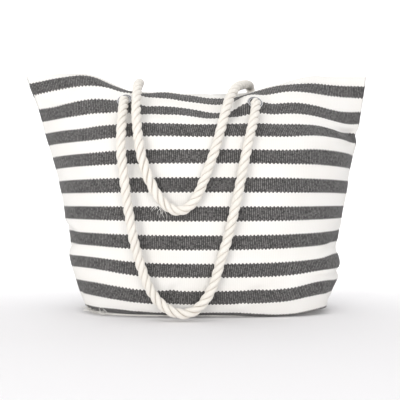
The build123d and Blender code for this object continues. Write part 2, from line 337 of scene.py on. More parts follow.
def wovenTape(name, colour):
    twillPitch = 0.0009
    p = Paint(name)
    vector, (x, y, z) = p.parts(p.objectPlace())
    twill = (x + z).wave(twillPitch)
    grain = p.speckle(vector, 700.0, 2.0)
    tone = p.mix(twill * 0.35 + grain * 0.3, colour, tuple(0.75 * c for c in colour))
    return p.finish(baseColor=tone, roughness=0.88 - 0.05 * twill, sheenWeight=0.15,
                    normal=p.bump(twill + grain * 0.5, 0.0002, 0.6))


def backdropPaper():
    p = Paint("backdropPaper")
    vector, (x, y, z) = p.parts(p.objectPlace())
    # the paper glows more the further back it lies, so that the floor fades into a white wall
    far = y.ramp(studio["glowFrom"], studio["glowTo"])
    tone = p.mix(far, studio["floor"], studio["wall"])
    grain = p.speckle(vector, 5.0, 2.0)
    return p.finish(baseColor=p.mix(grain * 0.04, tone, (0.75, 0.74, 0.76)), roughness=0.9,
                    emissionColor=p.mix(far, (0.0, 0.0, 0.0), (1.0, 1.0, 1.0)),
                    emissionStrength=studio["glow"])


canvas = stripedCanvas()
hemCanvas = plainCanvas("hemCanvas", (0.83, 0.815, 0.785), (0.76, 0.735, 0.69))
baseCanvas = plainCanvas("baseCanvas", (0.80, 0.78, 0.74), (0.70, 0.675, 0.63))
liningCotton = plainCanvas("liningCotton", (0.79, 0.76, 0.71), (0.72, 0.685, 0.63))
ropeCotton = cottonRope()
nickel = ringNickel()
zipNickel = brushedMetal("satinNickel", (0.60, 0.59, 0.57), 0.30)
whiteThread = sewingThread("whiteThread", (0.84, 0.82, 0.78))
whipThread = sewingThread("whippingThread", (0.78, 0.74, 0.66))
seamTape = wovenTape("seamTape", (0.74, 0.71, 0.65))
zipTape = wovenTape("zipTape", (0.66, 0.62, 0.54))
weltCotton = wovenTape("weltCotton", (0.80, 0.78, 0.74))
print("stage: materials")

# Rope: three strands laid round a smooth line

rope = {
    "diameter": 0.014, "lay": 0.038, "step": 0.0012, "sides": 14, "strands": 3,
    # shares of the rope's radius: how far a strand lies out, and its two half widths
    "out": 0.530, "flat": 0.475, "wide": 0.515,
    # how much a loose place opens the strands and slows their twist
    "opens": 0.25, "slows": 0.45,
}


def smoothLine(points):
    # the points steer one smooth spline, read back as many short steps
    data = bpy.data.curves.new("ropeLine", "CURVE")
    data.dimensions = "3D"
    data.resolution_u = 24
    spline = data.splines.new("NURBS")
    spline.points.add(len(points) - 1)
    for point, place in zip(spline.points, points):
        point.co = (*place, 1)
    spline.order_u = 3
    spline.use_endpoint_u = True
    made = bpy.data.objects.new("ropeLine", data)
    bpy.context.scene.collection.objects.link(made)
    bpy.context.view_layer.update()
    read = bpy.data.meshes.new_from_object(made.evaluated_get(bpy.context.evaluated_depsgraph_get()))
    line = np.array([v.co for v in read.vertices], float)
    bpy.data.objects.remove(made)
    return line


def hump(x, centre, reach):
    return np.exp(-((x - centre) / reach) ** 2)


def evenSteps(line, step):
    length = np.concatenate([[0], np.cumsum(np.linalg.norm(np.diff(line, axis=0), axis=1))])
    count = max(2, round(length[-1] / step))
    at = np.linspace(0, length[-1], count + 1)
    return np.stack([np.interp(at, length, line[:, k]) for k in range(3)], axis=1), at


def carriedFrames(line):
    # directions across the line that don't spin about it
    tangent = np.gradient(line, axis=0)
    tangent /= np.linalg.norm(tangent, axis=1)[:, None]
    across = np.zeros_like(line)
    first = np.cross(tangent[0], (0.31, 0.17, 0.93))
    across[0] = first / np.linalg.norm(first)
    for i in range(1, len(line)):
        v = across[i - 1] - tangent[i] * (across[i - 1] @ tangent[i])
        across[i] = v / np.linalg.norm(v)
    return tangent, across, np.cross(tangent, across)


def newMesh(name, verts, faces, material, smooth=True, attributes=()):
    mesh = bpy.data.meshes.new(name)
    mesh.from_pydata([tuple(v) for v in verts], [], [tuple(f) for f in faces])
    for key, values in attributes:
        layer = mesh.attributes.new(key, "FLOAT_VECTOR", "POINT")
        layer.data.foreach_set("vector", np.asarray(values, np.float32).ravel())
    mesh.polygons.foreach_set("use_smooth", [smooth] * len(mesh.polygons))
    mesh.materials.append(material)
    made = bpy.data.objects.new(name, mesh)
    bpy.context.scene.collection.objects.link(made)
    return made


def attach(piece, slotName, body, *nodes):
    # the CAD nodes that the piece stands for, and the body that carries it; slotName is not used
    if nodes:
        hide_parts(*nodes)
    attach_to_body(piece, body)
    return piece


def tubeFaces(rows, sides, start=0, closed=False):
    # the skin over rows of points that each go once round, with a cap at both ends or the ends joined
    faces = []
    for i in range(rows - (0 if closed else 1)):
        here, ahead = start + i * sides, start + (i + 1) % rows * sides
        for k in range(sides):
            following = (k + 1) % sides
            faces.append((here + k, here + following, ahead + following, ahead + k))
    if not closed:
        faces.append(tuple(start + k for k in reversed(range(sides))))
        faces.append(tuple(start + (rows - 1) * sides + k for k in range(sides)))
    return faces


def roundPoints(line, radii, sides):
    tangent, normal, binormal = carriedFrames(line)
    verts = []
    for i, (p, radius) in enumerate(zip(line, radii)):
        for k in range(sides):
            a = 2 * math.pi * k / sides
            verts.append(p + radius * (math.cos(a) * normal[i] + math.sin(a) * binormal[i]))
    return verts


def tubeAlong(name, line, radius, material, sides=8, closed=False):
    verts = roundPoints(line, [radius] * len(line), sides)
    return newMesh(name, verts, tubeFaces(len(line), sides, closed=closed), material)


def ropePiece(name, line, spread=1.0, loose=(), phase=0.0, radius=None):
    # loose: (distance along, reach, share) where the strands open a little
    radius = radius or rope["diameter"] / 2
    line, at = evenSteps(line, rope["step"])
    tangent, normal, binormal = carriedFrames(line)
    rate = np.full(len(at), 2 * math.pi / (rope["lay"] * radius * 2 / rope["diameter"]))
    opened = np.zeros(len(at))
    for centre, reach, share in loose:
        opened += share * hump(at, centre, reach)
    rate *= 1 - rope["slows"] * opened
    turn = phase + np.concatenate([[0], np.cumsum(rate[1:] * np.diff(at))])
    sides, verts, faces, places = rope["sides"], [], [], []
    for strand in range(rope["strands"]):
        angle = turn + strand * 2 * math.pi / rope["strands"]
        wobble = 1 + 0.05 * np.sin(at * 61 + strand * 2.1) + 0.03 * np.sin(at * 173 + strand)
        offset = radius * rope["out"] * (1 + rope["opens"] * opened)
        out = normal * np.cos(angle)[:, None] + binormal * np.sin(angle)[:, None]
        centre = line + out * offset[:, None]
        lead = np.gradient(centre, axis=0)
        lead /= np.linalg.norm(lead, axis=1)[:, None]
        beside = np.cross(lead, out)
        beside /= np.linalg.norm(beside, axis=1)[:, None]
        start = len(verts)
        for i in range(len(at)):
            for k in range(sides):
                a = 2 * math.pi * k / sides
                flat = rope["flat"] * radius * spread * wobble[i]
                wide = rope["wide"] * radius * spread * wobble[i]
                verts.append(centre[i] + out[i] * math.cos(a) * flat + beside[i] * math.sin(a) * wide)
                # depth is 1 on a strand's outer side and 0 on its inner side; the rope's material paints
                # shade by it
                depth = 0.5 + 0.5 * math.cos(a)
                # the place round the strand is a share of a turn, mirrored so that it meets itself
                places.append((at[i] + strand * 0.7, abs(k / sides - 0.5) * 2, depth))
        faces += tubeFaces(len(at), sides, start)
    return newMesh(name, verts, faces, ropeCotton, attributes=[("ropePlace", places)]), line, at[-1]


def boxCentre(node):
    low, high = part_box(node)
    return (np.array(low) + np.array(high)) / 2


def eyeletAxis(face, side):
    # the eyelet's middle on the canvas, and the way out of the bag, from its washer and whipping
    washer = boxCentre(f"{face}_eyelet_washer_{side}")
    whip = boxCentre(f"{face}_whipping_{side}")
    out = (washer - whip) / np.linalg.norm(washer - whip)
    return washer + out * eyelet["washerDepth"], out


eyelet = {"washerDepth": 0.0057, "bend": 0.012, "hole": 0.0092, "ropeSag": 0.0012}
eyelets = {(face, side): eyeletAxis(face, side) for face in ("front", "back") for side in ("left", "right")}

# The points that steer the ropes, in metres, about the same as the CAD tubes follow
frontRoute = [
    (-0.103, -0.120, 0.226), (-0.097, -0.121, 0.182), (-0.091, -0.121, 0.138), (-0.082, -0.119, 0.094),
    (-0.070, -0.117, 0.056), (-0.055, -0.115, 0.028), (-0.034, -0.114, 0.012), (-0.010, -0.114, 0.010),
    (0.009, -0.114, 0.024), (0.022, -0.115, 0.048), (0.032, -0.117, 0.082), (0.044, -0.120, 0.122),
    (0.053, -0.121, 0.162), (0.061, -0.121, 0.202), (0.068, -0.119, 0.238)]
# where the front rope drops out of its two eyelets
nearLeftEyelet = [(-0.1050, -0.0668, 0.3096), (-0.1042, -0.0785, 0.3034), (-0.1036, -0.0950, 0.2880),
                  (-0.1040, -0.112, 0.264)]
nearRightEyelet = [(0.0745, -0.1115, 0.262), (0.0790, -0.0985, 0.2805), (0.0818, -0.0875, 0.2945),
                   (0.0835, -0.0773, 0.3045)]
legLeftRoute = [(-0.104, 0.079, 0.330), (-0.098, 0.058, 0.345), (-0.090, 0.018, 0.347)]
legRightRoute = [(0.088, 0.080, 0.330), (0.086, 0.060, 0.344), (0.080, 0.018, 0.346)]
rimBendLeft = (-0.086, -0.030, 0.340)
rimBendRight = (0.066, -0.030, 0.337)
gripRoute = [
    (-0.086, -0.059, 0.331), (-0.085, -0.086, 0.309), (-0.084, -0.106, 0.281), (-0.080, -0.117, 0.250),
    (-0.074, -0.121, 0.218), (-0.064, -0.123, 0.190), (-0.050, -0.124, 0.166), (-0.033, -0.124, 0.151),
    (-0.015, -0.124, 0.152), (-0.001, -0.124, 0.168), (0.009, -0.123, 0.191), (0.019, -0.122, 0.219),
    (0.029, -0.118, 0.248), (0.036, -0.109, 0.277), (0.044, -0.090, 0.305), (0.054, -0.061, 0.328)]


handles = {
    # places where the strands open a little: distance along, reach, share
    "frontLoose": [(0.36, 0.045, 0.35)], "backLoose": [(0.235, 0.04, 0.45)],
    # half of the way over which the rope bends at the front eyelets and at the rim
    "frontReach": (0, 0.009, 0.007), "rimReach": (0, 0.012, 0.004),
    # two heights of a back leg, from the bend over its eyelet
    "legFrom": -0.004, "legTo": 0.018,
}


def outOf(face, side, distance):
    middle, out = eyelets[face, side]
    return tuple(middle + out * distance)


def bendOf(face, side):
    return np.array(outOf(face, side, eyelet["bend"]))


def makeFrontHandle():
    # its weight pulls the rope down against each eyelet's lower lip
    sag = np.array((0, 0, -eyelet["ropeSag"]))
    first, last = ([tuple(np.array(outOf("front", side, distance)) + sag) for distance in (-0.004, 0.002)]
                   for side in ("left", "right"))
    points = [*first, *nearLeftEyelet, *frontRoute, *nearRightEyelet, *reversed(last)]
    piece, path, length = ropePiece("front_handle", smoothLine(points), loose=handles["frontLoose"])
    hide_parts("front_handle_rope")
    bend = (bendOf("front", "left") + bendOf("front", "right")) / 2
    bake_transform(piece)
    outOf("front", "left", 0)
    print("front handle, metres:", round(float(length), 3))


def makeBackHandle():
    lines = {}
    for side, route, far in (("left", legLeftRoute, rimBendLeft), ("right", legRightRoute, rimBendRight)):
        lines[side] = [outOf("back", side, -0.004), outOf("back", side, 0.004),
                       tuple(bendOf("back", side)), *route, far]
    whole = smoothLine([*lines["left"], *gripRoute, *reversed(lines["right"])])
    whole, at = evenSteps(whole, rope["step"])
    # the rope is one line, cut into three pieces over the mouth
    half = len(whole) // 2
    leftCut = int(np.argmin(np.linalg.norm(whole[:half] - np.array(legLeftRoute[-1]), axis=1)))
    rightCut = half + int(np.argmin(np.linalg.norm(whole[half:] - np.array(legRightRoute[-1]), axis=1)))
    twist = 2 * math.pi / rope["lay"]
    for name, cut, phase, body in (
            ("back_handle_leg_left", slice(0, leftCut + 2), 0.0, "leg"),
            ("back_handle", slice(leftCut, rightCut + 1), twist * at[leftCut], "grip"),
            ("back_handle_leg_right", slice(rightCut - 1, len(whole)), twist * at[rightCut - 1], "leg")):
        loose = handles["backLoose"] if body == "grip" else ()
        piece, path, length = ropePiece(name, whole[cut], loose=loose, phase=phase)
        if body == "grip":
            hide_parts("back_handle_rope")
            bend = (np.array(rimBendLeft) + np.array(rimBendRight)) / 2
            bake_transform(piece)
            start = path[0]
        else:
            side = name.rsplit("_", 1)[1]
            if side == "right":
                path = path[::-1]
            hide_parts(f"back_rope_leg_{side}")
            # the leg rises all the way from just over its eyelet
            bend, up = bendOf("back", side), np.array((0, 0, 1.0))
            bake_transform(piece)
            start = outOf("back", side, 0)
        print(name, "metres:", round(float(length), 3))


# distances along the rope are from the eyelet's middle, outwards
tail = {"points": (-0.0405, -0.022, -0.0035), "spread": 0.98}
knot = {"seat": -0.0175, "turn": 0.009775, "rise": 0.55, "rope": 0.0048, "spread": 1.1, "closes": 0.985,
        "steps": 90}
whipping = {"length": 0.0088, "turns": 10, "perTurn": 26, "thread": 0.00048, "radius": 0.0074}


def acrossAxis(axis):
    # a level direction across the axis, and the one across both
    wide = np.cross(axis, (0, 0, 1.0))
    wide /= np.linalg.norm(wide)
    return wide, np.cross(wide, axis)


def makeWhipping(face, side):
    # thread wound tightly round the rope's end
    middle = boxCentre(f"{face}_whipping_{side}")
    out = eyelets[face, side][1]
    wide, high = acrossAxis(out)
    turn = np.linspace(0, 2 * math.pi * whipping["turns"], whipping["perTurn"] * whipping["turns"])
    along = (turn / turn[-1] - 0.5) * (whipping["length"] - 2 * whipping["thread"])
    line = (middle + whipping["radius"] * (np.cos(turn)[:, None] * wide + np.sin(turn)[:, None] * high)
            + along[:, None] * out)
    made = tubeAlong(f"{face}_whipping_thread_{side}", line, whipping["thread"], whipThread, sides=6)
    attach(made, "thread", "bag", f"{face}_whipping_{side}")


def makeTails():
    for (face, side), (middle, out) in eyelets.items():
        line = np.array([outOf(face, side, distance) for distance in tail["points"]])
        end, path, length = ropePiece(f"{face}_tail_{side}", line, spread=tail["spread"])
        attach(end, "rope", "bag", f"{face}_rope_tail_{side}")
        # the knot: a trefoil of the same rope pulled down tight round the tail
        seat = np.array(outOf(face, side, knot["seat"]))
        wide, high = acrossAxis(out)
        t = np.linspace(0, 2 * math.pi * knot["closes"], knot["steps"])
        x = (np.sin(t) + 2 * np.sin(2 * t)) / 3
        y = (np.cos(t) - 2 * np.cos(2 * t)) / 3
        z = -np.sin(3 * t) * knot["rise"]
        loop = seat + knot["turn"] * (x[:, None] * wide + y[:, None] * high + z[:, None] * out)
        lump, path, length = ropePiece(f"{face}_knot_piece_{side}", loop, spread=knot["spread"],
                                       radius=knot["rope"])
        attach(lump, "rope", "bag", f"{face}_knot_{side}")
        makeWhipping(face, side)


def turned(name, node, middle, axis, profile, around=72):
    # a ring turned about an axis from (radius, height) pairs in mm that close on themselves
    wide, high = acrossAxis(axis)
    verts, places = [], []
    for k in range(around):
        a = 2 * math.pi * k / around
        for radius, height in np.array(profile) * 0.001:
            verts.append(middle + radius * (math.cos(a) * wide + math.sin(a) * high) + height * axis)
            places.append((radius, height, a / (2 * math.pi)))
    made = newMesh(name, verts, tubeFaces(around, len(profile), closed=True), nickel,
                   attributes=[("ringPlace", places)])
    attach(made, "eyelet_metal", "bag", node)


def makeEyelets():
    # rolled lip, shallow dish, raised outer bead, then back along the underside and down the barrel
    outerRing = [(7.45, -6.4), (7.45, 0.4), (7.60, 1.15), (8.05, 1.55), (8.55, 1.50), (8.95, 1.15),
                 (9.45, 1.00), (9.95, 1.12), (10.45, 1.35), (10.90, 1.28), (11.20, 0.95), (11.25, 0.45),
                 (11.0, 0.27), (8.3, 0.27), (8.15, -0.4), (8.15, -6.4)]
    innerRing = [(8.22, -6.15), (8.22, -5.35), (9.0, -5.22), (10.6, -5.22), (11.1, -5.4), (11.25, -5.75),
                 (11.0, -6.1), (10.2, -6.35), (9.2, -6.30)]
    for (face, side), (middle, out) in eyelets.items():
        turned(f"{face}_eyelet_ring_{side}", f"{face}_eyelet_{side}", middle, out, outerRing)
        turned(f"{face}_eyelet_backing_{side}", f"{face}_eyelet_washer_{side}", middle, out, innerRing)


makeEyelets()
makeFrontHandle()
makeBackHandle()
makeTails()
print("stage: ropes")

# Cloth: both faces of the bag are one shape function, and every layer is offset from it

bag = {
    # middle of each face from the rim down: (metres of cloth, outwards, up)
    "front": [(0, 0.019, 0.3275), (0.018, 0.036, 0.3225), (0.038, 0.055, 0.3150), (0.0585, 0.0685, 0.3005),
              (0.0785, 0.083, 0.287), (0.099, 0.098, 0.273), (0.119, 0.106, 0.2546), (0.1595, 0.109, 0.217),
              (0.200, 0.110, 0.177), (0.2405, 0.109, 0.137), (0.281, 0.107, 0.0973), (0.3215, 0.103, 0.0586),
              (0.342, 0.099, 0.039), (0.362, 0.092, 0.0206), (0.3825, 0.083, 0.0085),
              (0.402, 0.0715, 0.0012)],
    "back": [(0, 0.043, 0.334), (0.019, 0.058, 0.322), (0.043, 0.076, 0.305), (0.082, 0.094, 0.270),
             (0.131, 0.105, 0.224), (0.187, 0.108, 0.170), (0.248, 0.107, 0.110), (0.309, 0.102, 0.050),
             (0.346, 0.095, 0.020), (0.372, 0.086, 0.008), (0.402, 0.0715, 0.0012)],
    # the two side seams, which both faces share: (metres of cloth, x, up)
    "left": [(0, -0.262, 0.354), (0.019, -0.257, 0.340), (0.058, -0.243, 0.304), (0.099, -0.233, 0.2675),
             (0.139, -0.2217, 0.231), (0.179, -0.211, 0.195), (0.220, -0.2015, 0.158),
             (0.255, -0.1965, 0.126),
             (0.285, -0.1925, 0.098), (0.317, -0.188, 0.070), (0.340, -0.183, 0.049), (0.361, -0.176, 0.030),
             (0.382, -0.170, 0.0135), (0.402, -0.163, 0.0012)],
    "right": [(0, 0.258, 0.354), (0.024, 0.2555, 0.335), (0.046, 0.2525, 0.315), (0.067, 0.249, 0.296),
              (0.088, 0.246, 0.277), (0.102, 0.2415, 0.265), (0.115, 0.243, 0.253), (0.137, 0.238, 0.233),
              (0.175, 0.2305, 0.199), (0.220, 0.221, 0.158), (0.260, 0.217, 0.122), (0.293, 0.2115, 0.092),
              (0.319, 0.2125, 0.068), (0.340, 0.210, 0.049), (0.361, 0.203, 0.030), (0.382, 0.195, 0.0125),
              (0.402, 0.188, 0.0012)],
    "baseShift": 0.0125, "baseHalf": 0.1755, "baseDepth": 0.0715, "baseSquareness": 3.2, "seamGap": 0.0002,
    "clothWidth": 0.520, "clothHeight": 0.402, "canvas": 0.0016,
    "liftRight": 0.0080, "liftLeft": 0.0015,  # how far the base's ends stand off the floor
}
# where the front is higher or lower than its plain shape: x, metres down, reach in x, reach down, rise
lifts = [
    (-0.208, 0.026, 0.050, 0.026, 0.0090), (0.026, 0.040, 0.034, 0.032, -0.0090),
    (-0.086, 0.000, 0.026, 0.020, -0.0035), (0.066, 0.000, 0.026, 0.020, -0.0030),
    (0.212, 0.070, 0.045, 0.022, -0.0070), (0.205, 0.128, 0.055, 0.020, 0.0060),
    (-0.152, 0.040, 0.042, 0.036, 0.0090), (0.128, 0.035, 0.040, 0.040, 0.0065),
    (0.168, 0.110, 0.035, 0.045, 0.0038), (-0.150, 0.325, 0.050, 0.035, 0.0055),
    (0.176, 0.345, 0.036, 0.026, 0.0060),
    (0.200, 0.296, 0.016, 0.014, 0.0040), (0.030, 0.070, 0.040, 0.020, -0.0025),
    (0.165, 0.388, 0.085, 0.015, -0.0120), (-0.160, 0.384, 0.034, 0.012, -0.0022),
    (-0.062, 0.014, 0.040, 0.016, 0.0040), (-0.020, 0.040, 0.028, 0.014, -0.0035),
    (-0.128, 0.050, 0.032, 0.036, 0.0050), (-0.168, 0.018, 0.030, 0.014, 0.0035),
    (0.100, 0.014, 0.030, 0.015, 0.0055),
]
# soft dents and swells: face, place across (0 to 1), metres down, reach across, reach down, depth outwards
swells = [
    ("front", 0.05, 0.268, 0.060, 0.022, -0.0045), ("front", 0.07, 0.235, 0.070, 0.024, 0.0022),
    ("front", 0.05, 0.305, 0.070, 0.022, 0.0035), ("front", 0.98, 0.106, 0.075, 0.022, -0.0060),
    ("front", 0.95, 0.275, 0.070, 0.024, -0.0040), ("front", 0.92, 0.315, 0.080, 0.022, 0.0020),
    ("front", 0.86, 0.066, 0.090, 0.035, 0.0050), ("front", 0.14, 0.060, 0.090, 0.035, 0.0040),
    ("front", 0.40, 0.352, 0.030, 0.018, -0.0035), ("front", 0.62, 0.345, 0.050, 0.022, -0.0030),
    ("front", 0.30, 0.190, 0.110, 0.080, 0.0030), ("front", 0.72, 0.210, 0.120, 0.090, 0.0030),
    ("front", 0.50, 0.150, 0.060, 0.070, -0.0025),
    ("back", 0.03, 0.180, 0.070, 0.024, -0.0065), ("back", 0.97, 0.230, 0.075, 0.024, -0.0070),
    ("back", 0.35, 0.240, 0.110, 0.080, 0.0030), ("back", 0.66, 0.170, 0.100, 0.080, 0.0035),
    ("back", 0.50, 0.120, 0.050, 0.070, -0.0035), ("back", 0.14, 0.372, 0.030, 0.014, -0.0045),
    ("back", 0.88, 0.375, 0.030, 0.014, -0.0045),
]
# creases: face, from (across, down) to (across, down), half width, depth
creases = [
    ("front", (0.00, 0.252), (0.17, 0.282), 0.0050, -0.0024),
    ("front", (0.00, 0.292), (0.13, 0.276), 0.0045, -0.0018),
    ("front", (1.00, 0.098), (0.86, 0.088), 0.0055, -0.0022),
    ("front", (1.00, 0.262), (0.85, 0.290), 0.0050, -0.0024),
    ("front", (1.00, 0.120), (0.84, 0.135), 0.0060, -0.0016),
    ("front", (1.00, 0.318), (0.74, 0.350), 0.0070, -0.0020),
    ("front", (1.00, 0.286), (0.80, 0.296), 0.0060, -0.0024),
    ("front", (1.00, 0.325), (0.78, 0.334), 0.0050, -0.0022),
    ("front", (0.00, 0.050), (0.12, 0.075), 0.0060, -0.0018),
    ("front", (0.05, 0.385), (0.14, 0.335), 0.0060, -0.0012),
    ("front", (0.95, 0.385), (0.86, 0.335), 0.0065, -0.0013),
    ("front", (0.37, 0.372), (0.43, 0.330), 0.0050, -0.0020),
    ("front", (0.60, 0.360), (0.68, 0.335), 0.0060, -0.0016),
    ("back", (0.00, 0.165), (0.15, 0.200), 0.0055, -0.0024),
    ("back", (1.00, 0.215), (0.84, 0.250), 0.0055, -0.0024),
    ("back", (0.05, 0.395), (0.14, 0.345), 0.0045, -0.0022),
    ("back", (0.95, 0.395), (0.86, 0.345), 0.0045, -0.0022),
]


def smoothStep(x, low, high):
    t = np.clip((x - low) / (high - low), 0, 1)
    return t * t * (3 - 2 * t)


def throughPoints(table, at):
    # a smooth line through rows of (where, value, value), read at each place asked for
    table = np.array(table, float)
    where, values = table[:, 0], table[:, 1:]
    slope = np.gradient(values, where, axis=0)
    at = np.clip(at, where[0], where[-1])
    i = np.clip(np.searchsorted(where, at, side="right") - 1, 0, len(where) - 2)
    width = (where[i + 1] - where[i])[:, None]
    t = (at - where[i])[:, None] / width
    return ((2 * t ** 3 - 3 * t ** 2 + 1) * values[i] + (t ** 3 - 2 * t ** 2 + t) * width * slope[i]
            + (3 * t ** 2 - 2 * t ** 3) * values[i + 1] + (t ** 3 - t ** 2) * width * slope[i + 1])


def faceShape(face, across, down):
    # smooth shape of one face: across 0 to 1, down in metres of cloth from the rim
    sign = -1 if face == "front" else 1
    middle = throughPoints(bag[face], down)
    left = throughPoints(bag["left"], down)
    right = throughPoints(bag["right"], down)
    angle = np.linspace(-math.pi / 2, math.pi / 2, 241)
    flat = angle * 2 / math.pi
    grid = np.zeros((len(down), len(across), 3))
    for j, d in enumerate(down):
        height = 1 - d / bag["clothHeight"]
        square = bag["baseSquareness"] + (2 - bag["baseSquareness"]) * smoothStep(height, 0, 0.35)
        lens = smoothStep(height, 0.5, 1.0)
        wide = np.sign(angle) * np.abs(np.sin(angle)) ** (2 / square) * (1 - lens) + lens * flat
        out = np.clip(np.cos(angle), 0, 1) ** (2 / square) * (1 - lens) + lens * (1 - np.abs(flat) ** 1.7)
        depth, middleUp = middle[j]
        x = (left[j, 0] + right[j, 0]) / 2 + (right[j, 0] - left[j, 0]) / 2 * wide
        y = sign * (bag["seamGap"] + (depth - bag["seamGap"]) * out)
        seamUp = left[j, 1] + (right[j, 1] - left[j, 1]) * (wide + 1) / 2
        if face == "front":
            top = 1 - smoothStep(np.abs(x), 0.085, 0.185)
            low = 1 - np.clip(np.abs(wide), 0, 1) ** 2.5
            share = low + (top - low) * smoothStep(height, 0.55, 0.85)
            z = seamUp + (middleUp - seamUp) * share
            for cx, cd, rx, rd, rise in lifts:
                z = z + rise * hump(x, cx, rx) * hump(d, cd, rd)
        else:
            z = seamUp + (middleUp - seamUp) * out
        length = np.concatenate([[0], np.cumsum(np.hypot(np.diff(x), np.diff(y)))])
        at = across * length[-1]
        for k, values in enumerate((x, y, z)):
            grid[j, :, k] = np.interp(at, length, values)
    return grid


def baseLift(x):
    return (bag["liftRight"] * smoothStep(np.asarray(x), 0.100, 0.188)
            + bag["liftLeft"] * (1 - smoothStep(np.asarray(x), -0.163, -0.120)))


def outwardOf(grid, face):
    along = np.gradient(grid, axis=1)
    downward = np.gradient(grid, axis=0)
    out = np.cross(along, downward)
    out /= np.maximum(np.linalg.norm(out, axis=2), 1e-9)[:, :, None]
    # along X then down is a turn towards +Y, which is out of the back
    return out * (1 if face == "back" else -1)


def settle(grid, face, across, down):
    # dents, creases and the small unevenness of heavy cotton
    out = outwardOf(grid, face)
    u, v = np.meshgrid(across, down)
    move = np.zeros_like(u)
    for where, cu, cv, ru, rv, depth in swells:
        if where == face:
            move += depth * hump(u, cu, ru) * hump(v, cv, rv)
    width = bag["clothWidth"]
    for where, (u0, v0), (u1, v1), half, depth in creases:
        if where != face:
            continue
        du, dv = (u1 - u0) * width, v1 - v0
        length = math.hypot(du, dv)
        s = ((u - u0) * width * du + (v - v0) * dv) / length ** 2
        off = ((u - u0) * width * dv - (v - v0) * du) / length
        off = off - 0.004 * np.sin(s * 3.0)
        fade = smoothStep(s, -0.25, 0.10) * (1 - smoothStep(s, 0.45, 1.15))
        ridge = hump(off, 0, half) - 0.55 * hump(off, 2.1 * half, 1.3 * half) - 0.4 * hump(
            off, -2.2 * half, 1.4 * half)
        move += depth * fade * ridge
    seed = 3.7 if face == "front" else 11.3
    free = smoothStep(u, 0.0, 0.03) * (1 - smoothStep(u, 0.97, 1.0))
    free *= 1 - smoothStep(v, bag["clothHeight"] - 0.014, bag["clothHeight"])
    move *= free
    for j in range(len(down)):
        for i in range(len(across)):
            x, y = across[i] * width, down[j]
            broad = noise.noise(Vector((x * 11, y * 15, seed)))
            small = noise.noise(Vector((x * 34, y * 46, seed + 5)))
            fine = noise.noise(Vector((x * 120, y * 150, seed + 9)))
            move[j, i] += (0.0030 * broad + 0.0011 * small + 0.00022 * fine) * free[j, i]
    grid = grid + out * move[:, :, None]
    # the canvas lies flat under each eyelet
    for (where, side), (middle, axis) in eyelets.items():
        if where == face:
            away = grid - middle
            height = away @ axis
            ring = np.linalg.norm(away - height[:, :, None] * axis, axis=2)
            near = np.linalg.norm(away, axis=2) < 0.07
            share = (1 - smoothStep(ring, 0.011, 0.034)) * near
            grid = grid - (height * share)[:, :, None] * axis
    height = np.maximum(grid[:, :, 2], 0.0)
    grid[:, :, 2] = height + baseLift(grid[:, :, 0]) * (1 - smoothStep(height, 0.0, 0.040))
    return grid


def clothPiece(name, face, material, acrossRange, downRange, steps, inset, thickness, holes=False):
    # a layer with two skins and its edges, set in from the face; holes cuts it round the eyelets
    across = np.linspace(*acrossRange, steps[0])
    down = np.linspace(*downRange, steps[1])
    grid = settle(faceShape(face, across, down), face, across, down)
    out = outwardOf(grid, face)
    outer = grid - out * inset
    inner = grid - out * (inset + thickness)
    sign = -1 if face == "front" else 1
    for layer in (outer, inner):
        # no layer crosses the side seams' plane, and none goes through the floor
        layer[:, :, 1] = sign * np.maximum(sign * layer[:, :, 1], 0.0001)
        layer[:, :, 2] = np.maximum(layer[:, :, 2], 0.0)
    keep = np.ones((steps[1] - 1, steps[0] - 1), bool)
    if holes:
        centres = (grid[:-1, :-1] + grid[1:, 1:]) / 2
        for (where, side), (middle, axis) in eyelets.items():
            if where == face:
                away = centres - middle
                ring = np.linalg.norm(away - (away @ axis)[:, :, None] * axis, axis=2)
                near = np.linalg.norm(away, axis=2) < 0.03
                keep &= ~((ring < eyelet["hole"]) & near)
    u, v = np.meshgrid(across * bag["clothWidth"], down)
    count = steps[0] * steps[1]
    verts = np.vstack([outer.reshape(-1, 3), inner.reshape(-1, 3)])
    places = np.vstack([np.stack([u, v, np.full_like(u, k)], axis=2).reshape(-1, 3) for k in (0.0, 0.01)])
    faces = []
    turn = face == "front"
    for j in range(steps[1] - 1):
        for i in range(steps[0] - 1):
            if not keep[j, i]:
                continue
            a = j * steps[0] + i
            corners = [a, a + 1, a + 1 + steps[0], a + steps[0]]
            faces.append(corners[::-1] if turn else corners)
            below = [c + count for c in corners]
            faces.append(below if turn else below[::-1])
            neighbours = [(j - 1, i), (j, i + 1), (j + 1, i), (j, i - 1)]
            for k, (nj, ni) in enumerate(neighbours):
                if not (0 <= nj < keep.shape[0] and 0 <= ni < keep.shape[1]) or not keep[nj, ni]:
                    p, q = corners[k], corners[(k + 1) % 4]
                    wall = [q, p, p + count, q + count]
                    faces.append(wall[::-1] if turn else wall)
    made = newMesh(name, verts, faces, material, attributes=[("clothPlace", places)])
    mesh = made.data
    used = np.zeros(len(mesh.vertices), bool)
    for f in faces:
        used[list(f)] = True
    if not used.all():
        bm = bmesh.new()
        bm.from_mesh(mesh)
        bm.verts.ensure_lookup_table()
        bmesh.ops.delete(bm, geom=[bm.verts[i] for i in np.nonzero(~used)[0]], context="VERTS")
        bm.to_mesh(mesh)
        bm.free()
    return made


layers = {
    # where each layer lies across and down the cloth, its steps, how far in it lies and how thick it is
    "panel": {"steps": (262, 204), "quickSteps": (170, 136)},
    "hem": {"across": (0.012, 0.988), "down": (0.0006, 0.0195), "steps": (180, 10), "inset": 0.0018,
            "thick": 0.0012, "flatHeight": 0.019},
    "facing": {"across": (0.02, 0.98), "down": (0.021, 0.068), "steps": (180, 30), "inset": 0.0020,
               "thick": 0.0015, "flatHeight": 0.047},
    "lining": {"across": (0.02, 0.98), "down": (0.066, 0.396), "steps": (130, 100), "inset": 0.0038,
               "thick": 0.0007, "flatHeight": 0.330},
}


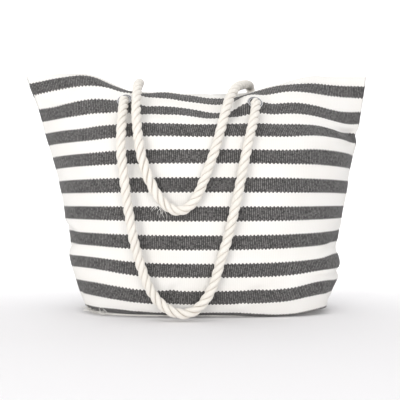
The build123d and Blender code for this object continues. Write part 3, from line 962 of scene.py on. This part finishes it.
def innerLayer(name, face, kind, material, slotName, holes):
    layer = layers[kind]
    made = clothPiece(name, face, material, layer["across"], layer["down"], layer["steps"], layer["inset"],
                      layer["thick"], holes=holes)
    attach(made, slotName, "bag", f"{face}_{kind}")


def makeFaces():
    height = bag["clothHeight"]
    panelSteps = layers["panel"]["steps"]
    for face in ("front", "back"):
        panel = clothPiece(f"{face}_canvas", face, canvas, (0, 1), (0, height), panelSteps, 0,
                           bag["canvas"], holes=True)
        attach(panel, "canvas", "bag", f"{face}_panel")
        innerLayer(f"{face}_hem_fold", face, "hem", hemCanvas, "canvas", False)
        innerLayer(f"{face}_facing_band", face, "facing", hemCanvas, "canvas", True)
        innerLayer(f"{face}_lining_cloth", face, "lining", liningCotton, "lining_cloth", True)


seamTapes = {
    "inset": (0.0090, 0.0062), "insetFrom": (0.02, 0.10),  # how far in the tape lies, at two depths
    "halfWidth": 0.0026, "halfThick": 0.00065, "ripple": 0.0002, "from": 0.022, "stopsShort": 0.008,
    "sides": 16, "rows": 150,
}


def makeSideTapes():
    # the seam allowance, bound with tape, lies inside along each side
    sides, rows = seamTapes["sides"], seamTapes["rows"]
    down = np.linspace(seamTapes["from"], bag["clothHeight"] - seamTapes["stopsShort"], rows)
    inset = np.interp(down, seamTapes["insetFrom"], seamTapes["inset"])
    for side, inward in (("left", 1), ("right", -1)):
        seam = throughPoints(bag[side], down)
        verts = []
        for i in range(rows):
            ripple = seamTapes["ripple"] * math.sin(down[i] * 210 + inward)
            for k in range(sides):
                a = 2 * math.pi * k / sides
                x = seam[i, 0] + inward * inset[i] + seamTapes["halfWidth"] * math.cos(a)
                verts.append((x, ripple + seamTapes["halfThick"] * math.sin(a), seam[i, 1]))
        tape = newMesh(f"side_tape_{side}", verts, tubeFaces(rows, sides), seamTape)
        attach(tape, "binding", "bag", f"side_seam_{side}")


makeFaces()
makeSideTapes()
print("stage: canvas and lining")


def baseOutline(inset, count=220):
    angle = np.linspace(0, 2 * math.pi, count, endpoint=False)
    power = 2 / bag["baseSquareness"]
    wide, deep = (np.sign(way) * np.abs(way) ** power for way in (np.cos(angle), np.sin(angle)))
    return bag["baseShift"] + (bag["baseHalf"] - inset) * wide, (bag["baseDepth"] - inset) * deep


def baseSheet(name, material, inset, bottom, thickness, swell, node, slotName):
    # an oval layer with two skins, built in rings from its middle out
    rings = [0.0, 0.15, 0.3, 0.45, 0.6, 0.72, 0.82, 0.9, 0.95, 0.98, 1.0]
    x, y = baseOutline(inset)
    count = len(x)
    verts, places, faces = [], [], []
    for level in (1, 0):
        for r in rings:
            for i in range(count):
                px, py = bag["baseShift"] + (x[i] - bag["baseShift"]) * r, y[i] * r
                lift = swell * (1 - r * r) * (0.6 + 0.4 * noise.noise(Vector((px * 25, py * 25, 2.0))))
                verts.append((px, py, bottom + thickness * level + max(0, lift) + float(baseLift(px))))
                places.append((px, py, level * 0.01))
    total = len(rings) * count
    for r in range(len(rings) - 1):
        for i in range(count):
            a, b = r * count + i, r * count + (i + 1) % count
            faces.append((a, a + count, b + count, b))
            faces.append((a + total, b + total, b + total + count, a + total + count))
    edge = (len(rings) - 1) * count
    for i in range(count):
        a, b = edge + i, edge + (i + 1) % count
        faces.append((a, a + total, b + total, b))
    made = newMesh(name, verts, faces, material, attributes=[("clothPlace", places)])
    return attach(made, slotName, "bag", node)


baseParts = {
    # inset from the outline, height of its lower skin, thickness, swell in the middle
    "canvas": (0.0012, 0.0, 0.0016, 0.0), "lining": (0.0065, 0.0040, 0.0007, 0.003),
    "weltOutside": 0.0008, "weltHeight": 0.0018, "weltRadius": 0.0016,
}


def makeBase():
    base = baseSheet("base_canvas", baseCanvas, *baseParts["canvas"], "base_panel", "canvas")
    lining = baseSheet("base_lining_cloth", liningCotton, *baseParts["lining"], "base_lining",
                       "lining_cloth")
    # a welt is sewn into the seam all round the base
    x, y = baseOutline(-baseParts["weltOutside"], 320)
    line = np.stack([x, y, baseParts["weltHeight"] + baseLift(x)], axis=1)
    welt = tubeAlong("base_welt", line, baseParts["weltRadius"], weltCotton, closed=True)
    attach(welt, "binding", "bag", "base_seam")


makeBase()
print("stage: base")

# Stitches: short threads that dip into the cloth at their ends

stitch = {
    "length": 0.0030, "gap": 0.0011, "radius": 0.00032, "sides": 6, "clearOfEyelet": 0.0135,
    # a stitch's outline: place along it, thickness, height above the cloth
    "shape": [(-0.5, 0.15, -0.35), (-0.42, 0.75, 0.25), (-0.2, 1.0, 0.8), (0.2, 1.0, 0.8),
              (0.42, 0.75, 0.25), (0.5, 0.15, -0.35)],
}


def stitchRow(name, points, outs):
    line, at = evenSteps(np.asarray(points, float), 0.0005)
    share = np.linspace(0, 1, len(points))
    total = at[-1]
    outs = np.asarray(outs, float)
    pitch = stitch["length"] + stitch["gap"]
    sides = stitch["sides"]
    verts, faces = [], []
    for n in range(int(total / pitch)):
        s = (n + 0.5) * pitch
        place = np.array([np.interp(s, at, line[:, k]) for k in range(3)])
        place[2] = max(place[2], 2.5 * stitch["radius"])
        nearest = min(np.linalg.norm(place - middle) for middle, axis in eyelets.values())
        if nearest < stitch["clearOfEyelet"]:
            continue  # no stitch crosses an eyelet
        ahead = np.array([np.interp(min(s + 0.001, total), at, line[:, k]) for k in range(3)])
        along = ahead - place
        if np.linalg.norm(along) < 1e-9:
            continue
        along /= np.linalg.norm(along)
        out = np.array([np.interp(s / total, share, outs[:, k]) for k in range(3)])
        out -= along * (out @ along)
        out /= np.linalg.norm(out)
        side = np.cross(along, out)
        faces += tubeFaces(len(stitch["shape"]), sides, len(verts))
        for where, fat, rise in stitch["shape"]:
            centre = place + along * where * stitch["length"] + out * rise * stitch["radius"]
            for k in range(sides):
                a = 2 * math.pi * k / sides
                verts.append(centre + fat * stitch["radius"] * (math.cos(a) * side + math.sin(a) * out))
    attach(newMesh(name, verts, faces, whiteThread), "thread", "bag")


def stitchOnFace(name, face, acrossRange, down, inset=0.0, inside=False):
    across = np.linspace(*acrossRange, 200)
    rows = np.array([down - 0.002, down, down + 0.002])
    grid = settle(faceShape(face, across, rows), face, across, rows)
    out = outwardOf(grid, face)[1]
    if inside:
        stitchRow(name, grid[1] - out * inset, -out)
    else:
        stitchRow(name, grid[1] + out * 0.0001, out)


def makeStitches():
    for face in ("front", "back"):
        stitchOnFace(f"{face}_hem_stitches", face, (0.015, 0.985), 0.0160)
        stitchOnFace(f"{face}_hem_stitches_inside", face, (0.03, 0.97), 0.0170, 0.0031, inside=True)
        stitchOnFace(f"{face}_base_stitches", face, (0.06, 0.94), 0.3965)
        stitchOnFace(f"{face}_facing_stitches", face, (0.04, 0.96), 0.0640, 0.0047, inside=True)


makeStitches()
print("stage: stitches")

# Loose yarns: at the bottom of the back handle's loop, and at the left end of the base seam

fray = {
    "seed": 12, "handleYarns": 14, "yarn": 0.00028, "seamThreads": 46, "thread": 0.000448,
    # each bundle starts somewhere along a short line: its start and its run
    "handleStart": (-0.060, -0.1300, 0.166), "handleRun": (0.016, -0.0005, -0.0125),
    "seamStart": (-0.1640, -0.034, 0.0060), "seamRun": (0.034, -0.036, -0.0040),
    "lowest": 0.0006,
}


def looseYarn(start, way, length, droop, curl, rng):
    way = np.array(way, float) / np.linalg.norm(way)
    side = np.cross(way, (0.3, 0.4, 0.85))
    side /= np.linalg.norm(side)
    phase = rng.uniform(0, 6.3)
    points = []
    for t in np.linspace(0, 1, 12):
        bend = side * math.sin(phase + t * 4.2) * curl * t * length
        fall = np.array((0, 0, 1)) * droop * t * t * length
        points.append(np.array(start) + way * t * length + bend - fall)
    return np.array(points)


def yarnBundle(name, lines, radius, slotName, body):
    # each yarn is half as thick at its loose end
    sides = 5
    verts, faces = [], []
    for line in lines:
        faces += tubeFaces(len(line), sides, len(verts))
        verts += roundPoints(line, [radius * (1 - 0.5 * i / len(line)) for i in range(len(line))], sides)
    attach(newMesh(name, verts, faces, whiteThread), slotName, body)


def makeFrays():
    rng = np.random.default_rng(fray["seed"])
    lines = []
    for n in range(fray["handleYarns"]):
        t = rng.uniform(0, 1)
        start = np.array(fray["handleStart"]) + t * np.array(fray["handleRun"])
        way = (rng.uniform(-0.7, 0.5), rng.uniform(-0.35, 0.0), rng.uniform(-1.0, -0.3))
        lines.append(looseYarn(start, way, rng.uniform(0.005, 0.012), 0.3, rng.uniform(0.1, 0.4), rng))
    yarnBundle("handle_loose_yarns", lines, fray["yarn"], "rope", "back_handle_grip")
    lines = []
    for n in range(fray["seamThreads"]):
        t = rng.uniform(0, 1) ** 1.3
        start = np.array(fray["seamStart"]) + t * np.array(fray["seamRun"])
        way = (rng.uniform(-1.0, 0.6), rng.uniform(-0.9, -0.3), rng.uniform(-0.1, 0.9))
        lines.append(looseYarn(start, way, rng.uniform(0.005, 0.013), 0.15, rng.uniform(0.2, 0.5), rng))
    for line in lines:
        line[:, 2] = np.maximum(line[:, 2], fray["lowest"])
    yarnBundle("base_loose_threads", lines, fray["thread"], "thread", "bag")


makeFrays()

# The zipped pocket inside the back

pocket = {
    "width": 0.200, "height": 0.130, "corner": 0.012, "rows": 40, "columns": 60,
    "puff": 0.0016, "ripple": 0.0012, "flatAtZip": 0.25, "behind": 0.0014, "apart": 0.0028,
    "foot": 0.086, "head": 0.071, "top": 0.264,  # how far back its lower and upper edges lie, and its height
}
zipParts = {
    # heights are drops from the pocket's top edge
    "drop": 0.014, "strips": {"upper": 0.0063, "lower": 0.0217},
    "stitches": {"upper": 0.0035, "lower": 0.0245},
    "half": 0.092, "stripHalfWidth": 0.0060, "stripHalfThick": 0.00035, "stripOut": 0.00045,
    "stripWave": 0.00012,
    "teeth": 90, "firstTooth": -0.0895, "toothPitch": 0.002, "toothApart": 0.0011, "toothShift": 0.0005,
    "toothOut": 0.0010, "toothHalf": (0.00065, 0.0014, 0.0008),
    "stitchHalf": 0.09, "stitchOut": 0.0009,
}


def pocketFrame():
    # top middle of the pocket's inner face, the way down it and the way out of it
    up = np.array((0.0, pocket["head"] - pocket["foot"], pocket["height"]))
    up /= np.linalg.norm(up)
    return np.array((0.0, pocket["head"], pocket["top"])), -up, np.cross((1.0, 0, 0), up)


def makeZipStrip(place, drop, top, downWay, inWay):
    # a woven strip with soft edges, which waves a little along its free length
    section = [(-0.94, -0.8), (0, -1), (0.94, -0.8), (1, 0), (0.94, 0.8), (0.5, 1), (0, 1), (-0.5, 1),
               (-0.94, 0.8), (-1, 0)]
    xs = np.linspace(-zipParts["half"], zipParts["half"], 120)
    verts = []
    for x in xs:
        rise = zipParts["stripWave"] * math.sin(x * 190) + zipParts["stripOut"]
        for across, up in section:
            verts.append(top + np.array((x, 0, 0)) + downWay * (drop + across * zipParts["stripHalfWidth"])
                         + inWay * (rise + up * zipParts["stripHalfThick"]))
    strip = newMesh(f"zip_strip_{place}", verts, tubeFaces(len(xs), len(section)), zipTape)
    attach(strip, "zip_tape", "bag", f"zip_tape_{place}")


def makeZipTeeth(top, downWay, inWay):
    # separate teeth, upper and lower by turns
    middle = top + downWay * zipParts["drop"]
    wide, high, thick = zipParts["toothHalf"]
    corners = ((-1, -1, -1), (1, -1, -1), (1, 1, -1), (-1, 1, -1),
               (-0.7, -0.8, 1), (0.7, -0.8, 1), (0.7, 0.8, 1), (-0.7, 0.8, 1))
    sides = ((0, 3, 2, 1), (4, 5, 6, 7), (0, 1, 5, 4), (1, 2, 6, 5), (2, 3, 7, 6), (3, 0, 4, 7))
    verts, faces = [], []
    for n in range(zipParts["teeth"]):
        for side in (-1, 1):
            x = zipParts["firstTooth"] + zipParts["toothPitch"] * (n + (0.5 if side > 0 else 0))
            centre = (middle + np.array((x, 0, 0)) + downWay * side * zipParts["toothApart"]
                      + inWay * zipParts["toothOut"])
            start = len(verts)
            for a, b, c in corners:
                verts.append(centre + np.array((a * wide, 0, 0)) + inWay * c * thick
                             + downWay * (b * high + side * zipParts["toothShift"]))
            faces += [tuple(start + c for c in f) for f in sides]
    teeth = newMesh("zip_teeth_row", verts, faces, zipNickel, smooth=False)
    attach(teeth, "zip_metal", "bag", "zip_teeth")


def makePocket():
    top, downWay, inWay = pocketFrame()
    height, corner = pocket["height"], pocket["corner"]
    nu, nv = pocket["columns"], pocket["rows"]
    verts, places, faces = [], [], []
    for layer in (0, 1):
        for j in range(nv):
            for i in range(nu):
                u, v = i / (nu - 1), j / (nv - 1)
                x = (u - 0.5) * pocket["width"]
                # round lower corners
                drop = v * height
                edge = pocket["width"] / 2 - abs(x)
                room = height - drop
                if edge < corner and room < corner:
                    x = math.copysign(pocket["width"] / 2 - corner + min(corner - edge, math.sqrt(
                        max(0, corner ** 2 - (corner - room) ** 2))), x)
                belly = math.sin(math.pi * u) * math.sin(math.pi * min(1, v * 1.02)) ** 0.6
                ripple = noise.noise(Vector((u * 5, v * 4, 1.5 + layer))) * pocket["ripple"] * belly
                puff = (pocket["puff"] * belly + ripple) * (1 if layer == 0 else 0.4)
                if 0.05 < v < 0.20:
                    puff *= pocket["flatAtZip"]
                verts.append(top + np.array((x, 0, 0)) + downWay * drop
                             + inWay * (puff - pocket["behind"] - layer * pocket["apart"]))
                places.append((u * pocket["width"], drop, layer * 0.01))
    total = nu * nv
    for j in range(nv - 1):
        for i in range(nu - 1):
            a = j * nu + i
            quad = (a, a + nu, a + nu + 1, a + 1)
            faces.append(quad)
            faces.append(tuple(total + c for c in reversed(quad)))
    border = (list(range(nu)) + [j * nu + nu - 1 for j in range(1, nv)]
              + [(nv - 1) * nu + i for i in reversed(range(nu - 1))]
              + [j * nu for j in reversed(range(1, nv - 1))])
    for a, b in zip(border, border[1:] + border[:1]):
        faces.append((a, b, b + total, a + total))
    cloth = newMesh("pocket_cloth", verts, faces, liningCotton, attributes=[("clothPlace", places)])
    attach(cloth, "lining_cloth", "bag", "pocket_bag")
    makeZipTeeth(top, downWay, inWay)
    for place, drop in zipParts["strips"].items():
        makeZipStrip(place, drop, top, downWay, inWay)
    for place, drop in zipParts["stitches"].items():
        xs = np.linspace(-zipParts["stitchHalf"], zipParts["stitchHalf"], 60)
        points = [top + np.array((x, 0, 0)) + downWay * drop + inWay * zipParts["stitchOut"] for x in xs]
        stitchRow(f"zip_stitches_{place}", points, [inWay] * len(points))


makePocket()
print("stage: pocket")

# CAD pieces whose shape is right keep it, and get their finish here
for name in ("zip_stop_left", "zip_stop_right", "zip_slider", "zip_puller"):
    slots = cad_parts[name].data.materials
    slots.clear()
    slots.append(zipNickel)


def makeBackdrop():
    # a paper sweep: the floor curves up into the wall
    r, back, half = studio["sweep"], studio["wallBehind"], studio["half"]
    line = [(-half, 0.0), (back - r, 0.0)]
    line += [(back - r + r * math.sin(a), r - r * math.cos(a)) for a in np.linspace(0.1, math.pi / 2, 12)]
    line += [(back, half)]
    verts = [(x, y, z) for y, z in line for x in (-half, half)]
    faces = [(2 * i, 2 * i + 1, 2 * i + 3, 2 * i + 2) for i in range(len(line) - 1)]
    sweep = newMesh("backdrop", verts, faces, backdropPaper())


makeBackdrop()
print("stage: finishes and backdrop")
